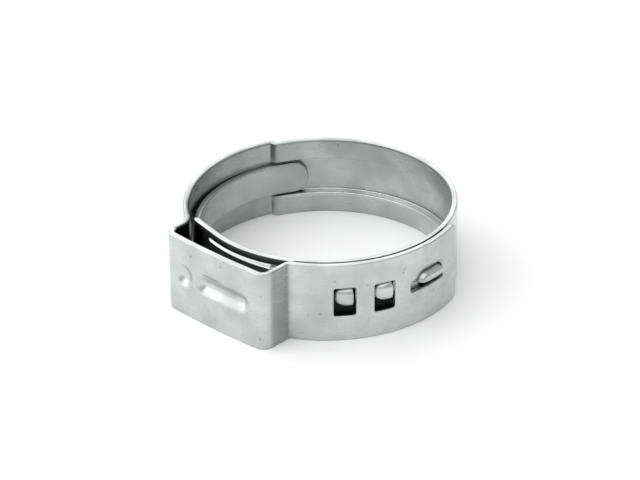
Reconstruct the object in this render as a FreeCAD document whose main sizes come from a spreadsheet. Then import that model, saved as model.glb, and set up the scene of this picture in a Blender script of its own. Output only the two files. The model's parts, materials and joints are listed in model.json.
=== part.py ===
import FreeCAD, Part
import math
import os
import Sketcher

# A stepless ear clamp: one strip of spring-hard stainless steel, cut, pressed and rolled into
# a ring.  The ring stands on its lower edge.  Z is the axis of the ring, z = 0 lies at the
# middle of the strip's width, and the ear faces -Y.  Angles are degrees from +X, counter-
# clockwise seen from above, and follow the strip from its tongue to its free end.

SIZES = (
    ("bore_radius", 10.5, "inside radius of the ring, all the way round"),
    ("strip_width", 7.0, "width of the strip, along the axis"),
    ("strip_thickness", 0.5, "thickness of the strip"),
    ("layer_gap", 0.05, "clearance between two layers of strip"),
    ("edge_rounding", 0.1, "radius on the long edges of the strip"),
    ("free_end_at", 21.3, "angle of the free end of the outer layer"),
    ("free_end_unbent_from", 14.5, "angle from which the outer layer runs straight to that end"),
    ("free_end_corner", 0.6, "corner radius of the free end, seen from outside"),
    ("shoulder_at", -119.5, "angle where the full width narrows to the tongue"),
    ("shoulder_lift", 0.5, "how far outside the ring the strip's two straight runs meet there"),
    ("shoulder_bend", 2.0, "centreline radius of the bend between those two straight runs"),
    ("tongue_tip_at", -218.5, "angle of the tip of the tongue"),
    ("tongue_width", 2.8, "width of the tongue"),
    ("tongue_tip_flat", 0.2, "length of the flat left between the tip's two rounded corners"),
    ("joggle_at", 155.3, "angle where the side strips start to step outward"),
    ("joggle_bend", 0.4, "centreline radius of the two bends of the step"),
    ("channel_clearance", 0.15, "clearance on each side of the tongue in the channel"),
    ("channel_wall", 0.35, "thickness left in each side wall of the channel"),
    ("ridge_rounding", 0.2, "radius along the outer edges of the ridge over the channel"),
    ("channel_end_at", 66.0, "angle where the channel is last at its full depth"),
    ("channel_run_out", 6.0, "angle in which the channel rises to nothing"),
    ("outer_layer_lift", 0.6, "how much the centre of the outer layer is set off on the left"),
    ("ear_inside", 10.35, "clear width between the legs of the ear"),
    ("ear_aside", -0.175, "offset of the middle of the ear, away from the windows"),
    ("ear_rise", 1.75, "how far the middle of the ear's face stands out of the outer layer"),
    ("ear_crown", 0.15, "how much the ear's face bulges between its corners"),
    ("ear_corner", 0.45, "inside bend radius at the corners of the ear"),
    ("left_foot_bend", 1.5, "bend radius on the outside of the ear's left foot"),
    ("right_foot_bend", 0.3, "bend radius on the outside of the ear's right foot"),
    ("dimple_length", 6.3, "length of the dimple in the ear"),
    ("dimple_height", 2.2, "height of the dimple, along the axis"),
    ("dimple_depth", 0.45, "depth of the dimple"),
    ("dimple_aside", 1.05, "offset of the dimple towards the windows"),
    ("dimple_raise", 0.2, "offset of both dimples upward"),
    ("small_dimple_aside", -3.4, "offset of the small round dimple"),
    ("small_dimple_radius", 1.05, "radius of the small round dimple"),
    ("small_dimple_depth", 0.35, "depth of the small round dimple"),
    ("window_width", 1.8, "width of each window, round the ring"),
    ("window_height", 2.55, "height of each window, along the axis"),
    ("window_raise", 0.03, "offset of both windows upward"),
    ("window_corner", 0.15, "corner radius of each window"),
    ("window_near_at", -38.9, "angle of the window nearest the ear"),
    ("window_far_at", -21.9, "angle of the second window"),
    ("hook_height", 1.8, "height of each hook, along the axis"),
    ("hook_raise", 0.4, "offset of both hooks upward"),
    ("hook_run", 1.1, "length over which each hook rises"),
    ("hook_rise", 0.65, "how far each hook rises above the inner layer"),
    ("hook_wall", 0.4, "wall of each hook, over the hollow behind it"),
    ("hook_side_wall", 0.3, "wall of each hook at its two sides"),
    ("hook_face", 0.65, "distance from a window's centre to its hook's bearing face"),
    ("hook_crown", 0.4, "distance from the crown of a hook to its bearing face"),
    ("guide_window_at", 0.33, "angle of the middle of the window round the guide lug"),
    ("guide_window_length", 3.94, "length of that window, round the ring"),
    ("guide_window_foot", -0.42, "height of that window's lower edge"),
    ("guide_slot_top", 0.62, "height of the window's low stretch, beside the lug"),
    ("guide_slot_run", 0.72, "length of the window's low stretch, beside the lug"),
    ("guide_at", 2.1, "angle of the middle of the guide lug"),
    ("guide_length", 2.95, "length of the guide lug, round the ring"),
    ("guide_foot", 0.2, "height of the sheared lower edge of the guide lug"),
    ("guide_top", 1.05, "height of the top of the guide lug"),
    ("guide_corner", 0.8, "radius of the lug's two upper corners"),
    ("guide_proud", 0.3, "how far the guide lug stands out of the outer layer"),
    ("guide_soft_edge", 0.2, "radius on the outer edge of the guide lug"),
    ("guide_clearance", 0.1, "clearance between the guide lug and its window"),
    ("lug_wall", 0.35, "wall of the guide lug, over the hollow behind it"),
    ("shear_gap", 0.1, "width of the sheared opening under the guide lug"),
    ("bead_from", -104.0, "angle where the bead under the ear is first pressed out"),
    ("bead_start_depth", 0.2, "depth of the bead at that angle"),
    ("bead_to", -68.0, "angle where that bead is deepest"),
    ("bead_run_in", 5.0, "angle in which the bead first leaves the ring"),
    ("bead_run_out", 3.5, "angle in which the bead falls back to the ring"),
    ("bead_offset", 1.85, "how much the centre of the bead's curve is set off"),
    ("bead_margin", 0.65, "width of flat strip left above and below the bead"),
)

# How far the window cutters reach outward, the slope of the dimples' walls in degrees, and
# the radius at the foot of those walls as a share of the dimple's depth.
CUT_REACH = 3.0
DIMPLE_TAPER = 35.0
DIMPLE_FOOT = 0.6

doc = FreeCAD.newDocument("ear_clamp")
Z_AXIS = FreeCAD.Vector(0, 0, 1)


def make_sheet():
    """Puts every driving dimension in a cell with an alias, beside its meaning."""
    sheet = doc.addObject("Spreadsheet::Sheet", "Sizes")
    for row, (alias, value, meaning) in enumerate(SIZES, start=1):
        sheet.set(f"A{row}", alias.replace("_", " "))
        sheet.set(f"B{row}", str(value))
        sheet.setAlias(f"B{row}", alias)
        sheet.set(f"C{row}", meaning)
    doc.recompute()
    return sheet


sizes = make_sheet()


def size(alias):
    """The value of one cell, as a plain number."""
    return float(sizes.get(alias))


def bind(thing, **expressions):
    """Ties properties of an object to cells of the sheet; a double underscore is a dot."""
    for name, expression in expressions.items():
        thing.setExpression(name.replace("__", "."), expression)


def polar(radius, angle, centre=FreeCAD.Vector()):
    """The point at a radius and an angle in degrees round a centre."""
    turn = math.radians(angle)
    return centre + FreeCAD.Vector(radius * math.cos(turn), radius * math.sin(turn), 0)


def heading(point, centre):
    """The angle in degrees of a point seen from a centre."""
    return math.degrees(math.atan2(point.y - centre.y, point.x - centre.x))


class Bend:
    """A round stretch of a path: turn is 1 where the path curves left and -1 where right."""

    def __init__(self, centre, radius, start, end, turn, rule=None):
        self.centre = centre
        self.radius = radius
        self.start = start
        self.end = end
        self.turn = turn
        self.rule = rule

    def offset(self, aside):
        """The same stretch moved to the left by a distance."""
        rule = None
        if self.rule:
            rule = f"{self.rule} + {-self.turn * aside / size('strip_thickness')} * Sizes.strip_thickness"
        return Bend(self.centre, self.radius - self.turn * aside, self.start, self.end, self.turn, rule)

    def shifted(self, along):
        """The same stretch moved along X."""
        centre = self.centre + FreeCAD.Vector(along, 0, 0)
        return Bend(centre, self.radius, self.start, self.end, self.turn, self.rule)

    def first(self):
        return polar(self.radius, self.start, self.centre)

    def last(self):
        return polar(self.radius, self.end, self.centre)

    def backwards(self):
        return Bend(self.centre, self.radius, self.end, self.start, -self.turn, self.rule)

    def curve(self):
        low, high = (self.start, self.end) if self.turn > 0 else (self.end, self.start)
        while high <= low:
            high += 360
        circle = Part.Circle(self.centre, Z_AXIS, self.radius)
        return Part.ArcOfCircle(circle, math.radians(low), math.radians(high))

    def ends(self):
        """Which end of the curve the path enters and leaves by."""
        return (1, 2) if self.turn > 0 else (2, 1)


class Straight:
    """A straight stretch of a path between two points."""

    rule = None

    def __init__(self, start, end):
        self.start = start
        self.end = end

    def offset(self, aside):
        along = (self.end - self.start).normalize()
        left = FreeCAD.Vector(-along.y, along.x, 0) * aside
        return Straight(self.start + left, self.end + left)

    def shifted(self, along):
        """The same stretch moved along X."""
        move = FreeCAD.Vector(along, 0, 0)
        return Straight(self.start + move, self.end + move)

    def first(self):
        return self.start

    def last(self):
        return self.end

    def backwards(self):
        return Straight(self.end, self.start)

    def curve(self):
        return Part.LineSegment(self.start, self.end)

    def ends(self):
        return (1, 2)


def fill_sketch(sketch, stretches):
    """Draws a closed chain of stretches, joins its ends and ties the ruled radii."""
    for stretch in stretches:
        sketch.addGeometry(stretch.curve(), False)
    for index, stretch in enumerate(stretches):
        follower = (index + 1) % len(stretches)
        leaving = stretch.ends()[1]
        entering = stretches[follower].ends()[0]
        sketch.addConstraint(Sketcher.Constraint("Coincident", index, leaving, follower, entering))
    for index, stretch in enumerate(stretches):
        if stretch.rule:
            number = sketch.addConstraint(Sketcher.Constraint("Radius", index, stretch.radius))
            sketch.renameConstraint(number, f"radius_{index}")
            sketch.setExpression(f"Constraints.radius_{index}", stretch.rule)


def origin_plane(body, role):
    return next(plane for plane in body.Origin.OriginFeatures if plane.Role == role)


def padded_body(name, stretches, height):
    """A body whose sketch in the XY plane is padded to both sides of z = 0."""
    body = doc.addObject("PartDesign::Body", name)
    sketch = body.newObject("Sketcher::SketchObject", name + "_outline")
    sketch.AttachmentSupport = [(origin_plane(body, "XY_Plane"), "")]
    sketch.MapMode = "FlatFace"
    fill_sketch(sketch, stretches)
    pad = body.newObject("PartDesign::Pad", name + "_pad")
    pad.Profile = sketch
    pad.Midplane = True
    pad.setExpression("Length", height)
    doc.recompute()
    return body


def round_edges(body, name, chosen, radius):
    """Rounds the chosen edges or faces of a body's newest feature."""
    newest = body.Tip
    fillet = body.newObject("PartDesign::Fillet", name)
    fillet.Base = (newest, chosen)
    fillet.setExpression("Radius", radius)
    doc.recompute()
    return fillet


thickness = size("strip_thickness")
half = thickness / 2
inner_mid = size("bore_radius") + half
outer_mid = inner_mid + thickness + size("layer_gap")
MID = "Sizes.bore_radius + 0.5 * Sizes.strip_thickness"
OUTER_MID = "Sizes.bore_radius + 1.5 * Sizes.strip_thickness + Sizes.layer_gap"
origin = FreeCAD.Vector()


def strip_path():
    """The centrelines of the tongue and of the full-width strip, which meet at the shoulder."""
    # The end of the full width is unbent, so it leaves the ring, and the tongue bends back.
    shoulder, knee = size("shoulder_at"), size("shoulder_bend")
    tilt = math.degrees(math.acos(inner_mid / (inner_mid + size("shoulder_lift"))))
    ring_from, tongue_to = shoulder + tilt, shoulder - tilt
    knee_centre = polar((inner_mid - knee) / math.cos(math.radians(tilt)), shoulder)
    tongue_path = [
        Bend(origin, inner_mid, size("tongue_tip_at"), tongue_to, 1, MID),
        Straight(polar(inner_mid, tongue_to), polar(knee, tongue_to, knee_centre)),
        Bend(knee_centre, knee, tongue_to, ring_from, 1, "Sizes.shoulder_bend"),
    ]

    # The side strips step outward by two equal bends that meet halfway.
    bend = size("joggle_bend")
    first_centre = polar(inner_mid + bend, size("joggle_at"))
    near, far = inner_mid + bend, outer_mid - bend
    cosine = (near ** 2 + far ** 2 - (2 * bend) ** 2) / (2 * near * far)
    joggle_end = size("joggle_at") + math.degrees(math.acos(cosine))
    second_centre = polar(far, joggle_end)
    middle = (first_centre + second_centre) * 0.5

    # The outer layer leaves the ring slowly on its way to the left foot of the ear.
    lift = size("outer_layer_lift")
    left_centre = polar(-lift, joggle_end)
    left_radius = outer_mid + lift

    # The feet: bends between the ring and the two upright legs.
    half_ear = size("ear_inside") / 2 + half
    left_leg, right_leg = size("ear_aside") - half_ear, size("ear_aside") + half_ear
    left_bend, right_bend = size("left_foot_bend") + half, size("right_foot_bend") + half
    left_foot = FreeCAD.Vector(left_leg - left_bend, 0, 0)
    left_foot.y = left_centre.y - math.sqrt(
        (left_radius + left_bend) ** 2 - (left_foot.x - left_centre.x) ** 2)
    right_foot = FreeCAD.Vector(right_leg + right_bend, 0, 0)
    right_foot.y = -math.sqrt((outer_mid + right_bend) ** 2 - right_foot.x ** 2)
    left_foot_at = heading(left_foot, left_centre)
    right_foot_at = heading(right_foot, origin)

    # The face is a shallow arc that runs smoothly into the two corners.
    face, corner, crown = ear_face - half, size("ear_corner") + half, size("ear_crown")
    reach = half_ear - corner
    face_radius = corner + (reach ** 2 + crown ** 2) / (2 * crown)
    face_centre = FreeCAD.Vector(size("ear_aside"), face_radius - face, 0)
    slope = math.degrees(math.asin(reach / (face_radius - corner)))
    brow = crown + corner - face
    left_corner = FreeCAD.Vector(left_leg + corner, brow, 0)
    right_corner = FreeCAD.Vector(right_leg - corner, brow, 0)
    corner_rule = "Sizes.ear_corner + 0.5 * Sizes.strip_thickness"

    # The last stretch, up to the free end, is unbent as well.
    last_bend = size("free_end_unbent_from")
    run = outer_mid * math.tan(math.radians(size("free_end_at") - last_bend))
    leaving = polar(outer_mid, last_bend)
    return joggle_end, tongue_path, [
        Bend(knee_centre, knee, shoulder, ring_from, 1, "Sizes.shoulder_bend"),
        Straight(polar(knee, ring_from, knee_centre), polar(inner_mid, ring_from)),
        Bend(origin, inner_mid, ring_from, size("joggle_at"), 1, MID),
        Bend(first_centre, bend, size("joggle_at") + 180, heading(middle, first_centre), -1,
             "Sizes.joggle_bend"),
        Bend(second_centre, bend, heading(middle, second_centre), joggle_end, 1, "Sizes.joggle_bend"),
        Bend(left_centre, left_radius, joggle_end, left_foot_at, 1,
             OUTER_MID + " + Sizes.outer_layer_lift"),
        Bend(left_foot, left_bend, left_foot_at + 180, 0, -1,
             "Sizes.left_foot_bend + 0.5 * Sizes.strip_thickness"),
        Straight(FreeCAD.Vector(left_leg, left_foot.y, 0), FreeCAD.Vector(left_leg, brow, 0)),
        Bend(left_corner, corner, 180, 270 - slope, 1, corner_rule),
        Bend(face_centre, face_radius, 270 - slope, 270 + slope, 1),
        Bend(right_corner, corner, 270 + slope, 360, 1, corner_rule),
        Straight(FreeCAD.Vector(right_leg, brow, 0), FreeCAD.Vector(right_leg, right_foot.y, 0)),
        Bend(right_foot, right_bend, 180, right_foot_at + 180, -1,
             "Sizes.right_foot_bend + 0.5 * Sizes.strip_thickness"),
        Bend(origin, outer_mid, right_foot_at, last_bend, 1, OUTER_MID),
        Straight(leaving, leaving + polar(run, last_bend + 90)),
    ]


def strip_outline(path):
    """Both sides of the strip round a centreline, closed by its two cut ends."""
    inside = [stretch.offset(half) for stretch in path]
    outside = [stretch.offset(-half).backwards() for stretch in reversed(path)]
    last_cut = Straight(inside[-1].last(), outside[0].first())
    first_cut = Straight(outside[-1].last(), inside[0].first())
    return inside + [last_cut] + outside + [first_cut]


def arch(length, foot, top, lower, upper):
    """A rectangle standing on its foot, with one radius for each pair of corners."""
    side = length / 2
    spot = FreeCAD.Vector
    chain = [
        Straight(spot(-side + lower, foot, 0), spot(side - lower, foot, 0)),
        Bend(spot(side - lower, foot + lower, 0), lower, 270, 360, 1),
        Straight(spot(side, foot + lower, 0), spot(side, top - upper, 0)),
        Bend(spot(side - upper, top - upper, 0), upper, 0, 90, 1),
        Straight(spot(side - upper, top, 0), spot(-side + upper, top, 0)),
        Bend(spot(-side + upper, top - upper, 0), upper, 90, 180, 1),
        Straight(spot(-side, top - upper, 0), spot(-side, foot + lower, 0)),
        Bend(spot(-side + lower, foot + lower, 0), lower, 180, 270, 1),
    ]
    return [stretch for stretch in chain if isinstance(stretch, Straight) or stretch.radius > 0]


def radial_body(name, stretches, start, depth, at=None, taper=0.0):
    """A body drawn facing the ear's side, padded outward from a radius, and turned to an angle."""
    body = doc.addObject("PartDesign::Body", name)
    sketch = body.newObject("Sketcher::SketchObject", name + "_outline")
    sketch.AttachmentSupport = [(origin_plane(body, "XZ_Plane"), "")]
    sketch.MapMode = "FlatFace"
    sketch.setExpression("AttachmentOffset.Base.z", start)
    fill_sketch(sketch, stretches)
    pad = body.newObject("PartDesign::Pad", name + "_pad")
    pad.Profile = sketch
    pad.TaperAngle = taper
    pad.setExpression("Length", depth)
    if at:
        body.Placement.Rotation = FreeCAD.Rotation(Z_AXIS, 1)
        body.setExpression("Placement.Rotation.Angle", at + " + 90")
    doc.recompute()
    return body


def edge_names(shape, wanted):
    """The names of the edges whose middle point and direction there satisfy a test."""
    names = []
    for number, edge in enumerate(shape.Edges, start=1):
        station = (edge.FirstParameter + edge.LastParameter) / 2
        if wanted(edge.valueAt(station), edge.tangentAt(station)):
            names.append(f"Edge{number}")
    return names


def cut_end_corners(shape, angle):
    """The names of the short edges at the corners of a cut end that faces an angle."""
    return edge_names(shape, lambda middle, along: (
        abs(math.remainder(heading(middle, origin) - angle, 360)) < 0.01
        and abs(along.z) < 0.01 and abs(middle.z) > thickness))


def flat_ends(shape):
    """The names of the faces that look along the axis."""
    return [f"Face{number}" for number, face in enumerate(shape.Faces, start=1)
            if abs(face.normalAt(0, 0).z) > 0.99]


def join(name, *things):
    """One solid from several that overlap."""
    fuse = doc.addObject("Part::MultiFuse", name)
    fuse.Shapes = list(things)
    return fuse


def cut(name, base, tool):
    """A solid with another taken away from it."""
    rest = doc.addObject("Part::Cut", name)
    rest.Base = base
    rest.Tool = tool
    return rest


def make_strip():
    """The full-width strip: shoulder, ring, joggle, outer layer, ear and free end."""
    body = padded_body("full_width_strip", strip_outline(strip_line), "Sizes.strip_width")
    corners = cut_end_corners(body.Shape, size("free_end_at"))
    round_edges(body, "free_end_corners", corners, "Sizes.free_end_corner")
    round_edges(body, "rounded_edges", flat_ends(body.Shape), "Sizes.edge_rounding")
    return body


def make_tongue():
    """The narrow tongue, from its rounded tip to just inside the shoulder."""
    body = padded_body("tongue", strip_outline(tongue_line), "Sizes.tongue_width")
    corners = cut_end_corners(body.Shape, size("tongue_tip_at"))
    round_edges(body, "tongue_tip", corners, "(Sizes.tongue_width - Sizes.tongue_tip_flat) / 2")
    return body


def make_channel():
    """The ridge pressed outward by one thickness, and the channel inside it for the tongue."""
    deep, shallow = size("channel_end_at"), size("channel_end_at") - size("channel_run_out")
    ridge = padded_body("channel_ridge", [
        Bend(origin, outer_back, deep, joggle_end, 1, OUTER_BACK),
        Straight(polar(outer_back, joggle_end), polar(outer_mid, joggle_end)),
        Straight(polar(outer_mid, joggle_end), polar(inner_mid, size("joggle_at"))),
        Bend(origin, inner_mid, size("joggle_at"), shallow, -1, MID),
        Straight(polar(inner_mid, shallow), polar(inner_back, shallow)),
        Straight(polar(inner_back, shallow), polar(outer_back, deep)),
    ], "Sizes.tongue_width + 2 * (Sizes.channel_clearance + Sizes.channel_wall)")
    brow = edge_names(ridge.Shape, lambda middle, along: (
        abs(along.z) < 0.01 and middle.Length > inner_back
        and abs(math.remainder(heading(middle, origin) - joggle_end, 360)) > 0.1
        and math.hypot(middle.x, middle.y) > (inner_back + outer_face) / 2
        and abs(middle.z) > half))
    round_edges(ridge, "ridge_brow", brow, "Sizes.ridge_rounding")
    inside = inner_face - half
    hollow = padded_body("channel_hollow", [
        Bend(origin, outer_face, deep, joggle_end, 1, OUTER_FACE),
        Straight(polar(outer_face, joggle_end), polar(inside, joggle_end)),
        Bend(origin, inside, joggle_end, shallow, -1),
        Straight(polar(inside, shallow), polar(inner_face, shallow)),
        Straight(polar(inner_face, shallow), polar(outer_face, deep)),
    ], "Sizes.tongue_width + 2 * Sizes.channel_clearance")
    return ridge, hollow


def bead_profile(name, surface, inside, margin):
    """A crescent that leaves a surface of the ring at one end and falls back at the other."""
    start, deepest = size("bead_from"), size("bead_to")
    centre = polar(-size("bead_offset"), start)
    reach = surface + size("bead_start_depth") + size("bead_offset")
    # The point of the offset circle that lies in the deepest direction from the axis.
    gap = math.radians(deepest - start)
    crest = (math.sqrt(reach ** 2 - (size("bead_offset") * math.sin(gap)) ** 2)
             - size("bead_offset") * math.cos(gap))
    top = polar(crest, deepest)
    begin, end = start - size("bead_run_in"), deepest + size("bead_run_out")
    first = polar(surface + size("bead_start_depth"), start)
    return padded_body(name, [
        Bend(centre, reach, start, heading(top, centre), 1),
        Straight(top, polar(surface, end)),
        Straight(polar(surface, end), polar(inside, end)),
        Bend(origin, inside, end, begin, -1),
        Straight(polar(inside, begin), polar(surface, begin)),
        Straight(polar(surface, begin), first),
    ], f"Sizes.strip_width - 2 * ({margin})")


def make_bead():
    """The shallow bead in the inner layer under the ear, pressed outward."""
    raised = bead_profile("bead_raised", inner_back, inner_mid, "Sizes.bead_margin")
    hollow = bead_profile("bead_hollow", inner_face, inner_face - half,
                          "Sizes.bead_margin + Sizes.strip_thickness / 2")
    return raised, hollow


def make_window(name, at):
    """A cutter for one square window through the outer layer."""
    height, raise_by = size("window_height") / 2, size("window_raise")
    corner = size("window_corner")
    outline = arch(size("window_width"), raise_by - height, raise_by + height, corner, corner)
    return radial_body(name, outline, LAYER_MIDDLE, f"{CUT_REACH}", at)


def ellipsoid(name, tall, wide, rise, at_radius):
    """A dome centred on the ear's side, with its half-axes and radius as rules."""
    dome = doc.addObject("Part::Ellipsoid", name)
    dome.Angle1 = -90
    dome.Angle2 = 90
    bind(dome, Radius1=tall, Radius2=wide, Radius3=rise, Placement__Base__y=f"-({at_radius})",
         Placement__Base__x="Sizes.hook_face - Sizes.hook_crown",
         Placement__Base__z="Sizes.hook_raise")
    return dome


def make_hook(name, at):
    """One pressed hook: a dome sheared on the side of the free end, and the hollow behind it."""
    beyond = doc.addObject("Part::Box", name + "_sheared_side")
    beyond.Width = 2 * outer_back
    beyond.Length = CUT_REACH
    bind(beyond, Height="Sizes.strip_width", Placement__Base__x="Sizes.hook_face",
         Placement__Base__z="-Sizes.strip_width / 2", Placement__Base__y=f"-{2 * outer_back}")
    core = doc.addObject("Part::Cylinder", name + "_core")
    bind(core, Radius=MID, Height="Sizes.strip_width", Placement__Base__z="-Sizes.strip_width / 2")
    turned = {"Placement__Rotation__Angle": at + " + 90"}
    rise = "Sizes.hook_rise + Sizes.strip_thickness / 2"

    dome = ellipsoid(name + "_dome", "Sizes.hook_height / 2", "Sizes.hook_run", rise, MID)
    hook = cut(name, cut(name + "_sheared", dome, beyond), core)
    bind(hook, **turned)
    pressing = ellipsoid(name + "_pressing", "Sizes.hook_height / 2 - Sizes.hook_side_wall",
                         "Sizes.hook_run - Sizes.hook_side_wall", rise, f"{MID} - Sizes.hook_wall")
    hollow = cut(name + "_hollow", pressing, beyond)
    bind(hollow, **turned)
    return hook, hollow


def make_guide():
    """The guide lug: a half-moon pressed out over a sheared edge, its hollow and its window."""
    foot, top, corner = size("guide_foot"), size("guide_top"), size("guide_corner")
    outline = arch(size("guide_length"), foot, top, 0, corner)
    lug = radial_body("guide_lug", outline, MID,
                      "1.5 * Sizes.strip_thickness + Sizes.layer_gap + Sizes.guide_proud",
                      "Sizes.guide_at")
    front = -(outer_back + size("guide_proud"))
    rim = edge_names(lug.Tip.Shape, lambda middle, along: (
        abs(middle.y - front) < 0.01 and middle.z > foot + 0.01))
    round_edges(lug, "lug_rim", rim, "Sizes.guide_soft_edge")

    wall = size("lug_wall")
    recess = arch(size("guide_length") - 2 * wall, foot - size("shear_gap"), top - wall,
                  size("shear_gap") / 2, corner - wall)
    hollow = radial_body("guide_hollow", recess, "Sizes.bore_radius - Sizes.strip_thickness",
                         "3 * Sizes.strip_thickness + Sizes.layer_gap + Sizes.guide_proud"
                         " - Sizes.lug_wall", "Sizes.guide_at")

    # The window is a low slot with an arch over the lug, which leaves the slot's near end free.
    clear, rounding = size("guide_clearance"), size("window_corner")
    length, run = size("guide_window_length"), size("guide_slot_run")
    bottom = size("guide_window_foot")
    slot = radial_body("guide_slot", arch(length, bottom, size("guide_slot_top"), rounding, rounding),
                       LAYER_MIDDLE, f"{CUT_REACH}", "Sizes.guide_window_at")
    over = arch(length - run, bottom, top + clear, rounding, corner + clear)
    window = radial_body("guide_window", [stretch.shifted(run / 2) for stretch in over],
                         LAYER_MIDDLE, f"{CUT_REACH}", "Sizes.guide_window_at")
    return lug, hollow, [slot, window]


def stadium(length, height, middle_x, middle_z):
    """A slot shape with half-round ends, or a circle where length and height are equal."""
    radius = height / 2
    straight = (length - height) / 2
    right = FreeCAD.Vector(middle_x + straight, middle_z, 0)
    left = FreeCAD.Vector(middle_x - straight, middle_z, 0)
    down = FreeCAD.Vector(0, -radius, 0)
    ends = [Bend(right, radius, -90, 90, 1), Bend(left, radius, 90, 270, 1)]
    if straight <= 0:
        return ends
    return [ends[0], Straight(right - down, left - down), ends[1], Straight(left + down, right + down)]


def make_dimple(name, length, height, aside, depth):
    """A dimple in the ear's face: the hollow outside and the bump that it raises inside."""
    raise_by = size("dimple_raise")
    hollow = radial_body(name + "_hollow", stadium(length, height, size(aside), raise_by),
                         f"{EAR_FACE} - Sizes.{depth}", f"Sizes.{depth} + Sizes.strip_thickness",
                         taper=DIMPLE_TAPER)
    floor = -(ear_face - size(depth))
    edges = edge_names(hollow.Shape, lambda middle, along: abs(middle.y - floor) < 0.01)
    round_edges(hollow, name + "_floor", edges, f"Sizes.{depth} * {DIMPLE_FOOT}")
    bump = radial_body(name + "_bump", stadium(length, height, size(aside), raise_by),
                       f"{EAR_FACE} - Sizes.strip_thickness - Sizes.{depth}",
                       f"Sizes.{depth} + Sizes.strip_thickness / 2", taper=DIMPLE_TAPER)
    return hollow, bump


inner_face = size("bore_radius")
inner_back = inner_face + thickness
outer_face = inner_back + size("layer_gap")
outer_back = outer_face + thickness
OUTER_FACE = "Sizes.bore_radius + Sizes.strip_thickness + Sizes.layer_gap"
OUTER_BACK = "Sizes.bore_radius + 2 * Sizes.strip_thickness + Sizes.layer_gap"
LAYER_MIDDLE = "Sizes.bore_radius + Sizes.strip_thickness + Sizes.layer_gap / 2"
ear_face = outer_back + size("ear_rise")
EAR_FACE = OUTER_BACK + " + Sizes.ear_rise"

joggle_end, tongue_line, strip_line = strip_path()
strip = make_strip()
tongue = make_tongue()
channel_ridge, channel_hollow = make_channel()
bead_raised, bead_hollow = make_bead()
lug, lug_hollow, lug_windows = make_guide()
windows = [make_window("window_near", "Sizes.window_near_at"),
           make_window("window_far", "Sizes.window_far_at"), *lug_windows]
hooks = [make_hook("hook_near", "Sizes.window_near_at"), make_hook("hook_far", "Sizes.window_far_at")]
dimple_hollow, dimple_bump = make_dimple(
    "dimple", size("dimple_length"), size("dimple_height"), "dimple_aside", "dimple_depth")
small_hollow, small_bump = make_dimple(
    "small_dimple", 2 * size("small_dimple_radius"), 2 * size("small_dimple_radius"),
    "small_dimple_aside", "small_dimple_depth")
doc.recompute()

pressed = join("strip_with_ridge_and_bead", strip, channel_ridge, bead_raised, dimple_bump, small_bump)
opened = cut("strip_with_windows", pressed, join("windows", *windows))
raised = join("strip_with_hooks", opened, lug, *[hook for hook, hollow in hooks])
hollows = join("hollows", channel_hollow, bead_hollow, lug_hollow, dimple_hollow, small_hollow,
               *[hollow for hook, hollow in hooks])
hollowed = cut("strip_hollowed", raised, hollows)
band = join("clamp_band", hollowed, tongue)
doc.recompute()
band.Label = "clamp_band"

for thing in doc.Objects:
    if "Invalid" in thing.State or "Error" in thing.State:
        raise RuntimeError(f"{thing.Name} did not build: {thing.State}")
if band.Shape.isNull() or not band.Shape.isValid() or len(band.Shape.Solids) != 1:
    raise RuntimeError("clamp_band is not one valid solid")

os.makedirs("parts", exist_ok=True)
band.Shape.exportStep("parts/clamp_band.step")
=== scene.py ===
import json
import math

import bpy
import numpy as np
from bpy.props import FloatProperty, FloatVectorProperty, PointerProperty
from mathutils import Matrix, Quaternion, Vector, kdtree
from mathutils.geometry import delaunay_2d_cdt

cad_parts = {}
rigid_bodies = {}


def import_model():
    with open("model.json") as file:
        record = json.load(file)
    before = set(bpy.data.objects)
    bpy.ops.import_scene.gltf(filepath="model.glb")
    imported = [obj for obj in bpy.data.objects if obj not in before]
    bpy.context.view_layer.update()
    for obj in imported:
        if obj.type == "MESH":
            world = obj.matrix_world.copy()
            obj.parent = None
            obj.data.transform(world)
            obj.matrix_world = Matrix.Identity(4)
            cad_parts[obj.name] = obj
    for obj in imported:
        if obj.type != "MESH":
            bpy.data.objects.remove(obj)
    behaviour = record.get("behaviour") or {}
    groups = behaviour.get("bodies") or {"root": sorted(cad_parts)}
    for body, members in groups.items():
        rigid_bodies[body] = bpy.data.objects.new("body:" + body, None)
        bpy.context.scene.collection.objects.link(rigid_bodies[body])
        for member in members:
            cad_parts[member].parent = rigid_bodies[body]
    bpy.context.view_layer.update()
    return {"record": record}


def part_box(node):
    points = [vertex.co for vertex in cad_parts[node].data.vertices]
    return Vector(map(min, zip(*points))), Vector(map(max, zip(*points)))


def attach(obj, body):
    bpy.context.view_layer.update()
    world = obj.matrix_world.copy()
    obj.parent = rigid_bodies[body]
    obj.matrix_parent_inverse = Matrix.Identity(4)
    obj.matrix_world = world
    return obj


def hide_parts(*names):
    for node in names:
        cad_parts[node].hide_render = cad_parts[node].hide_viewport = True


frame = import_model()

bl_info = {
    "name": "Ear Hose Clamp",
    "version": (1, 0, 0),
    "blender": (4, 5, 0),
    "location": "3D View > Sidebar > Clamp",
    "description": "Cuts, presses and rolls a stepless ear clamp, with its steel and its studio",
    "category": "Add Mesh",
}

# The clamp is one strip of stainless steel.  Its flat blank is cut first, along X with its
# width along Z and its thickness along Y; then the features are pressed, and then the blank is
# rolled along its centreline.  The ring's axis is Z, and the ear faces -Y.  Angles are counted
# from +X, counter-clockwise seen from above, from the tongue to the free end.

MM = 0.001
BAND = "clamp_band"
SEAT = next(mount for mount in frame["record"]["mounts"] if mount["name"] == "hose_seat")
LOW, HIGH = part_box(BAND)
# The size of the picture that the camera was fitted to, in pixels.
IMAGE_WIDTH, IMAGE_HEIGHT = 640, 480
# No facet of a round corner turns more than this.
FACET = math.pi / 16


def length(title, about, millimetres):
    """A property that holds a length."""
    return FloatProperty(name=title, description=about, default=millimetres * MM,
                         unit="LENGTH", subtype="DISTANCE", precision=5)


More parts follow.
